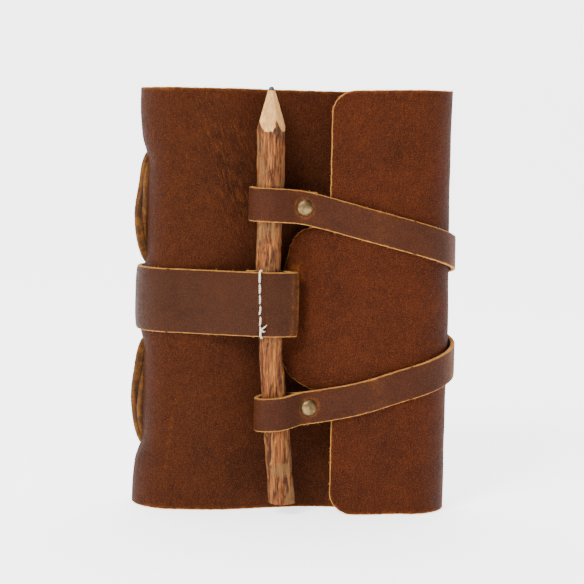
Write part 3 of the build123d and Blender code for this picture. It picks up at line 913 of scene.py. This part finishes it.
def make_tail(name, tail):
    """One narrow tail: back, fore edge, and the front with its riveted loop."""
    plan = tail_plan(tail)
    middle, turn, front_end, fold_mid = tail_middle(tail, plan)
    rivet_s = plan.find(tail["rivet"][0], turn, front_end)
    rivet_return_s = plan.find(tail["rivet"][0], 0, turn)
    split = front_end + 0.5

    def near_rivet(s, w):
        near = (bump(s, rivet_s, 4.6) + bump(s, rivet_return_s, 4.6)) * bump(w, 0, 4.6)
        return tail["bow"] * bump(s, fold_mid, 13) - 0.22 * near

    def wear(s, w):
        halo = 0.45 * bump(np.hypot(s - rivet_s, w), 4.1, 0.7)
        rub = 0.35 * bump(s, fold_mid - 6, 8) + 0.3 * bump(s, turn, 3) + 0.2 * bump(s, front_end - 14, 5)
        return 0.2 * bump(abs(w), TAIL_HALF, 0.6) + halo + rub

    place = strap_place(plan, middle, 20 + len(name) + tail["loop"][1], near_rivet)
    meet = plan.find(tail["rivet"][0] + 4, 0, turn)
    fields = {"wear": wear, "warm": lambda s, w: smooth(0, 40, plan.length - s)}
    chart = lambda flat: np.stack([plan.length - flat[:, 0], middle(flat[:, 0]) + flat[:, 1]], 1)
    h, end = TAIL_HALF, plan.length
    loop = [(0, h - 0.8), (meet, h - 0.6), (turn, h), (split, h)]
    sections = (
        ("front", [(s, -w) for s, w in loop] + loop[::-1], (split,), 1),
        ("side", upright(split, fold_mid, -h, h), (split, fold_mid), 1.2),
        ("back", upright(fold_mid, end, -h, h), (fold_mid, end), 1.2),
    )
    front, side, back = (
        slab(f"{name}_tail_{part}", outline, place, cuts, step, STRAP_WANDER, fields, STRAP_SKINS, chart)
        for part, outline, cuts, step in sections
    )
    z = tail["wrap"][1]
    bend(front, "strap", "flap", f"{name}_tail", (49, -17.5, z), (44, -18.3, z), f"{name}_tail")
    bend(side, "strap", "fore_edge", "flap", (66, -1, z), (52, -15, z), f"{name}_tail_wrap")
    bend(back, "strap", "back", "fore_edge", (52, 16, z), (66, 2, z))


# ---- round things
def lathe(name, profile, centre, axis_y, sides=48):
    """A turned brass piece about a line along Y. profile is (radius, distance along axis_y)."""
    points = []
    for r, d in profile:
        for a in np.arange(sides) * 2 * math.pi / sides:
            points.append((centre[0] + r * math.cos(a), centre[1] + axis_y * d, centre[2] + r * math.sin(a)))
    return build(name, points, capped(len(profile), sides), (BRASS,))


def cap_profile(radius=3.5, dome=1.25, rim=0.5):
    """A domed cap with a small rolled rim, from its flat back to its crown."""
    profile = [(1.4, 0), (radius - 0.25, 0), (radius - 0.06, 0.08), (radius, 0.25), (radius - 0.08, 0.42)]
    profile.append((radius - 0.3, rim))
    for t in np.arange(1, 10) / 10 * math.pi / 2:
        profile.append(((radius - 0.3) * math.cos(t), rim + dome * math.sin(t)))
    return profile + [(0.05, rim + dome)]


POST_PROFILE = [
    (1.5, 0), (1.5, 3.6), (3.1, 3.62), (3.2, 3.75), (3.2, 4.05), (3.05, 4.2), (1.2, 4.2), (0.9, 3.9),
    (0.05, 3.9),
]


def make_rivets():
    """A cap and a post in each tail, and two caps on the back of the belt."""
    front_face = MEET_Y - GAP / 2 - STRAP
    for name, tail in TAILS.items():
        x, z = tail["rivet"]
        cap = lathe(f"{name}_cap", cap_profile(), (x, front_face + 0.2, z), -1)
        claim(cap, "brass", f"{name}_tail", f"{name}_rivet_cap")
        post = lathe(f"{name}_post", POST_PROFILE, (x, front_face - 0.05, z), 1)
        claim(post, "brass", f"{name}_tail", f"{name}_rivet_post")
    low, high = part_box("belt_back_rivets")
    face = BACK_Y + GAP + STRAP
    for side, x in (("near", low[0] * 1000 - SHIFT[0] + 3.5), ("far", high[0] * 1000 - SHIFT[0] - 3.5)):
        cap = lathe(f"belt_rivet_{side}", cap_profile(), (x, face - 0.15, BELT_Z), 1)
        claim(cap, "brass", "back", "belt_back_rivets")


# ---- thread and laces
def tube(points, radius, sides, start_r, end_r):
    """Points and faces of a closed tube along a line of points."""
    p = np.array(points, float)
    radii = [start_r] + [radius] * (len(p) - 2) + [end_r]
    up = np.array([0.31, 0.87, 0.38])
    verts = []
    for centre, t, r in zip(p, unit(np.gradient(p, axis=0)), radii):
        a = np.cross(t, up)
        a /= np.linalg.norm(a)
        b = np.cross(t, a)
        for w in np.arange(sides) * 2 * math.pi / sides:
            verts.append(centre + r * (a * math.cos(w) + b * math.sin(w)))
    return verts, capped(len(p), sides)


def plies(line, radius, turns):
    """Two twisted plies along a line of points."""
    way = unit(np.gradient(line, axis=0))
    side = unit(np.cross(way, [0, 1, 0]))
    other = np.cross(way, side)
    taper = np.sin(np.linspace(0.12, math.pi - 0.12, len(line))) ** 0.25
    out = []
    for start in (0, math.pi):
        a = (np.linspace(0, 2 * math.pi * turns, len(line)) + start)[:, None]
        q = line + (side * np.cos(a) + other * np.sin(a)) * (radius * 0.5 * taper)[:, None]
        out.append(tube(q, radius * 0.62, 7, radius * 0.3, radius * 0.3))
    return out


STITCH_Y = -25.32 - STRAP / 2


def make_thread():
    """The loop's seam: uneven stitches of two-ply thread, wrapped over the band's two edges, with
    a short loose end at the foot."""
    rng = random.Random(THREAD_SEED)
    parts = []
    low, high = BAND_Z
    stitches, drift, sink = 6, 0.16, 0.75
    pitch = (high - low) / stitches
    for i in range(stitches):
        z0 = high - i * pitch
        lean = rng.uniform(-0.35, 0.35)
        x0 = -13.6 + drift * i + lean * 0.4
        x1 = -13.6 + drift * (i + 1) - lean * 0.4
        t = np.linspace(0, 1, 15)
        arch = np.sin(np.pi * t) ** 0.45
        z = z0 - 0.25 - (pitch - 0.5) * t
        y = STITCH_Y - 0.42 * arch + sink * (1 - arch)
        line = np.stack([x0 + (x1 - x0) * t + 0.12 * np.sin(5 * t), y, z], 1)
        parts += plies(line, rng.uniform(0.36, 0.48), 2.1)
    for x, z, way in ((-13.5, high, 1), (-12.6, low + 0.5, -1)):
        a = np.linspace(0, math.pi * 0.95, 13)
        y = STITCH_Y + 0.75 - 1.05 * np.cos(a)
        over = 0.05 + 0.75 * np.sin(a) - 1.1 * (a < 0.05)
        parts += plies(np.stack([x + 0.9 * a / math.pi, y, z + way * over], 1), 0.44, 1.6)
    for end in (
        [(-12.6, 0.35, 78.8), (-11.9, 0.75, 79.5), (-11, 0.9, 80.2), (-10.1, 0.85, 81.2)],
        [(-12.9, 0.3, 80.2), (-12.4, 0.8, 79), (-11.5, 0.9, 78.2), (-10.6, 0.75, 78.5)],
    ):
        parts.append(tube([(x, STITCH_Y - proud, z) for x, proud, z in end], 0.3, 7, 0.34, 0.1))
    claim(build("seam_thread", *together(parts), (THREAD,)), "thread", "band", "band_stitching")


def ribbon(line, width, thick, twist):
    """Points and faces of a flat thong along a line, with rounded edges. twist is in radians."""
    verts, section = [], []
    for a in np.arange(20) * 2 * math.pi / 20:
        c, s = math.cos(a), math.sin(a)
        wide, high = width / 2 * abs(c) ** 0.45, thick / 2 * abs(s) ** 0.7
        section.append((math.copysign(wide, c), math.copysign(high, s)))
    for i, (centre, t) in enumerate(zip(line, unit(np.gradient(line, axis=0)))):
        a = np.cross([0, 1, 0], t)
        a /= np.linalg.norm(a)
        b = np.cross(t, a)
        c, s = math.cos(twist[i]), math.sin(twist[i])
        wide, high = b * c + a * s, a * c - b * s
        for u, v in section:
            rough = 1 + 0.06 * noise.noise(Vector((u * 2, v * 3, i * 0.45)))
            verts.append(centre + wide * u * rough + high * v * rough)
    return verts, capped(len(line), len(section))


def make_laces():
    """Suede thongs that come out of the spine, bow outwards side by side, and go in again."""
    t = np.linspace(0, 1, 60)
    out = np.sin(np.pi * t) ** 0.5
    for place, low, high, turn in (("upper", 103.4, 151.5, 0.7), ("lower", 24.6, 72.2, -0.6)):
        for side, start, way in (("front", 0, -1), ("back", math.pi, 1)):
            phase = start + turn * np.sin(2 * np.pi * t)
            x = -60 - out * (4.45 + 1.6 * np.cos(phase) + 0.45 * np.sin(2.2 * np.pi * t))
            y = -0.8 - 1.6 * np.sin(phase) * out + way * (1 - out) * 0.9
            z = low + 0.8 + (high - low - 1.6) * t
            twist = 1.15 - 0.5 * np.sin(np.pi * t) + 0.5 * np.sin(phase)
            lace = build(f"lace_{place}_{side}", *ribbon(np.stack([x, y, z], 1), 3.4, 2.5, twist), (THONG,))
            claim(lace, "lace", "back", f"{place}_lace_{side}")


# ---- the twig pencil
# Height, x and radius along the twig.
TWIG = [
    (5, -2.3, 5.5), (15, -3.3, 5.4), (29, -4.6, 5.3), (40, -5.8, 5.1), (52, -6.9, 4.95),
    (70, -8.5, 4.8), (87, -9.5, 4.8), (105, -10.2, 4.85), (122, -10.1, 5.2), (140, -10, 5.5),
    (163, -10.5, 5.9), (180, -10.6, 6),
]
# Height, angle and size of each knot.
KNOTS = ((161, -1.25, 1), (114.6, -2.35, 1.1), (50, -0.6, 0.9), (21, -2.2, 0.8), (78, 1.8, 1.2))
# Angle and extra depth of each knife cut.
CUTS = ((-1.84, 0), (-0.47, 0.1), (-3.12, 0.05), (2.15, 0.2), (1.3, 0), (0.45, 0.2))
APEX_Z = 182.6
CONE_SLOPE = 0.262
LEAD_PROFILE = [
    (1.176, 174.6), (1.2096, 177), (1.176, 178), (1.0304, 178.55), (0.728, 178.88), (0.168, 179),
]


def make_pencil():
    """Bark with ridges and knots, knife-cut to facets at the top, and sawn flat below."""
    rings, sides = 420, 112
    zs, xs, rs = np.array(TWIG).T
    z = np.concatenate([np.linspace(TWIG[0][0], 155, rings - 120), np.linspace(155.4, 177.4, 120)])
    zz, aa = np.meshgrid(z, np.linspace(0, 2 * math.pi, sides, endpoint=False), indexing="ij")
    cx, r = np.interp(zz, zs, xs), np.interp(zz, zs, rs)
    soften(r, 30)
    soften(cx, 30)
    ux, uy = np.cos(aa), np.sin(aa)

    def grain(scale, tall, seed):
        spots = zip((ux * r).ravel(), (uy * r).ravel(), zz.ravel())
        flat = [noise.noise(Vector((x * scale, y * scale, h * tall + seed))) for x, y, h in spots]
        return np.array(flat).reshape(zz.shape)

    ridges = grain(1.1, 0.16, 3)
    fine = grain(2.6, 0.35, 8)
    lumps = grain(0.25, 0.07, 5)
    cone = np.full_like(zz, 1e9)
    for f, extra in CUTS:
        face = (APEX_Z - zz) * CONE_SLOPE + extra * np.clip((APEX_Z - zz) / 16, 0, 1)
        cosine = np.cos(aa - f)
        cone = np.minimum(cone, np.where(cosine > 0.15, face / np.maximum(cosine, 0.15), 1e9))
    cone += 0.05 * fine
    calm = 1 - 0.8 * np.exp(-(((r - cone) / 0.8) ** 2))
    rough = 0.36 * ridges - 0.15 * np.clip(1 - abs(ridges) / 0.15, 0, 1) + 0.18 * fine
    bark_r = r + 0.42 * lumps * calm + rough * calm
    knot = np.zeros_like(zz)
    for kz, ka, size in KNOTS:
        gap = np.hypot((zz - kz) / 1.5, r * ((aa - ka + math.pi) % (2 * math.pi) - math.pi)) / size
        bark_r += 0.45 * np.exp(-((gap - 1) ** 2) / 0.3) - 0.35 * np.exp(-(gap**2) / 0.4)
        knot = np.maximum(knot, np.exp(-(gap**2) / 0.7))
    radius = np.minimum(bark_r, np.maximum(cone, 0.3))
    cut = 1 / (1 + np.exp(-(bark_r - cone) / 0.06))
    points = np.stack([(cx + radius * ux).ravel(), (PENCIL_Y + radius * uy).ravel(), zz.ravel()], 1).tolist()
    foot = len(points)
    top = foot + 1
    points += [(float(cx[0, 0]), PENCIL_Y, TWIG[0][0] + 0.15), (float(cx[-1, 0]), PENCIL_Y, 177.5)]
    faces = rings_of(rings, sides)
    for k in range(sides):
        j = (k + 1) % sides
        faces.append((foot, j, k))
        faces.append((top, (rings - 1) * sides + k, (rings - 1) * sides + j))
    twig = build("twig", points, faces, (BARK,))
    store(twig.data, cut=np.append(cut.ravel(), [1, 1]), knot=np.append(0.8 * knot.ravel(), [0, 0]))
    claim(twig, "bark", "pencil", "pencil_twig")
    sides = 24
    points = [
        (TWIG[-1][1] + radius * math.cos(w), PENCIL_Y + radius * math.sin(w), height)
        for radius, height in LEAD_PROFILE for w in np.arange(sides) * 2 * math.pi / sides
    ]
    lead = build("lead", points, capped(len(LEAD_PROFILE), sides), (GRAPHITE,))
    claim(lead, "graphite", "pencil", "pencil_lead")


# ---- the paper block
# x, front y and back y of the block in plan.
BLOCK = [
    (-53, -13.2, 13.3), (-36, -14, 13.6), (-4, -6.1, 13.6), (8, -3.7, 13.6), (60, -3.1, 11.6),
]


def block_y(x, share):
    """How far back a sheet lies at x, for its share of the way through the block."""
    xs, fronts, backs = np.array(BLOCK).T
    front = np.interp(x, xs, fronts)
    return float(front + (np.interp(x, xs, backs) - front) * share)


def sheet(x0, x1, near, far, tear, seed):
    """Points and faces of one folded sheet, with slightly uneven, torn fore edges."""
    along = np.concatenate([[x0 + 0.5], np.linspace(x0 + 3, x1, 16)])
    front = [(x, block_y(x, near)) for x in along[::-1]]
    back = [(x, block_y(x, far)) for x in along]
    line = front + [(x0, block_y(x0, (near + far) / 2))] + back
    line[0] = (line[0][0] + tear[0], line[0][1])
    line[-1] = (line[-1][0] + tear[1], line[-1][1])
    plan = Plan(line, 1, smoothing=2)
    n, rows = 60, 24
    x, y, nx, ny = plan.at(np.linspace(0, plan.length, n))
    points, faces = [], []
    for out in (PAGE_THICK, -PAGE_THICK):
        for r in range(rows + 1):
            z = PAGE_FOOT + PAGE_HEIGHT * r / rows
            for q in range(n):
                ragged = 0.45 * noise.noise(Vector((z * 0.35, seed[0], q))) if q in (0, n - 1) else 0
                end = 0.3 * noise.noise(Vector((x[q] * 0.1, seed[1], r))) if r in (0, rows) else 0
                points.append((x[q] + out * nx[q] + ragged, y[q] + out * ny[q], z + end))
    layer = (rows + 1) * n
    for c in (r * n + q for r in range(rows) for q in range(n - 1)):
        d = c + layer
        faces += [(c, c + 1, c + n + 1, c + n), (d, d + n, d + n + 1, d + 1)]
    rims = [(r * n + q, 1) for q in range(n - 1) for r in (0, rows)]
    rims += [(r * n + q, n) for r in range(rows) for q in (0, n - 1)]
    faces += [(c, c + on, c + on + layer, c + layer) for c, on in rims]
    return points, faces


def make_signatures():
    """Each signature is a nest of folded sheets."""
    rng = random.Random(PAPER_SEED)
    count, sheets = 8, 5
    for i in range(count):
        furthest = max(abs(block_y(BLOCK[0][0], (i + k) / count)) for k in (0, 1))
        x0 = SPINE[0] - (BLOCK_R**2 - furthest**2) ** 0.5
        parts = []
        for k in range(sheets):
            inset = (k + 0.28) / (2 * sheets)
            tear = [rng.uniform(-0.9, 0.2) for _ in range(2)]
            start = x0 + SPINE_ROOM + 0.35 * k
            seed = (i * 3.1 + k, i * 2 + k)
            near, far = (i + inset) / count, (i + 1 - inset) / count
            parts.append(sheet(start, x0 + PAGE_WIDTH, near, far, tear, seed))
        body = f"leaves_{i + 1}" if i < 4 else "back"
        piece = build(f"sheets_{i + 1}", *together(parts), (PAPER,))
        claim(piece, "paper", body, f"signature_{i + 1}")


# ---- the studio
def make_camera():
    """Eye a little under the book's top, looking slightly down, and rolled a degree or so."""
    data = bpy.data.cameras.new("camera")
    camera = link("camera", data)
    eye = Vector(spot(0, -17 - 660, 163))
    aim = Vector(spot(-0.2, -17, 94))
    look = (aim - eye).to_track_quat("-Z", "Y")
    roll = Euler((0, 0, math.radians(1.35))).to_quaternion()
    camera.location = eye
    camera.rotation_mode = "QUATERNION"
    camera.rotation_quaternion = look @ roll
    data.lens = 97.8
    data.sensor_width = 36
    data.clip_start = 0.01
    bpy.context.scene.camera = camera


def area_light(name, place, target, size, power):
    data = bpy.data.lights.new(name, "AREA")
    data.shape = "RECTANGLE"
    data.size, data.size_y = size
    data.energy = power
    light = link(name, data)
    light.location = place
    light.rotation_euler = (Vector(target) - Vector(place)).to_track_quat("-Z", "Y").to_euler()


def make_studio():
    """A pale sweep, a large soft key from above left, and weak fill."""
    curve = [(0.55 + 0.5 * math.sin(t), 0.5 - 0.5 * math.cos(t)) for t in np.linspace(0.1, math.pi / 2, 14)]
    profile = [(-3, 0), (0.55, 0)] + curve + [(1.05, 3)]
    points = [(x, y, z - 0.0002) for y, z in profile for x in (-4, 4)]
    faces = [(2 * i, 2 * i + 1, 2 * i + 3, 2 * i + 2) for i in range(len(profile) - 1)]
    white = plain("sweep_white", (0.94, 0.94, 0.94), 0.9, 2.2)
    link("sweep", smooth_mesh("sweep", points, faces, (white,)))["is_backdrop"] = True
    area_light("key", (-0.62, -0.95, 0.95), (0, 0, 0.09), (0.55, 0.55), 34)
    area_light("fill", (1.1, -1, 0.5), (0, 0, 0.09), (1, 1.2), 4)
    area_light("top", (0, 0.25, 1.5), (0, 0.1, 0.1), (1.2, 0.8), 12)
    world = bpy.data.worlds.new("studio")
    world.use_nodes = True
    background = world.node_tree.nodes["Background"]
    background.inputs["Color"].default_value = (1, 1, 1, 1)
    background.inputs["Strength"].default_value = 0.35
    bpy.context.scene.world = world


make_camera()
make_studio()
make_hide()
make_band()
for tail_name, tail_facts in TAILS.items():
    make_tail(tail_name, tail_facts)
make_rivets()
make_thread()
make_laces()
make_pencil()
make_signatures()

visual_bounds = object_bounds()
boxes = [[[float(v) for v in corner] for corner in box] for box in (cad_bounds, visual_bounds)]
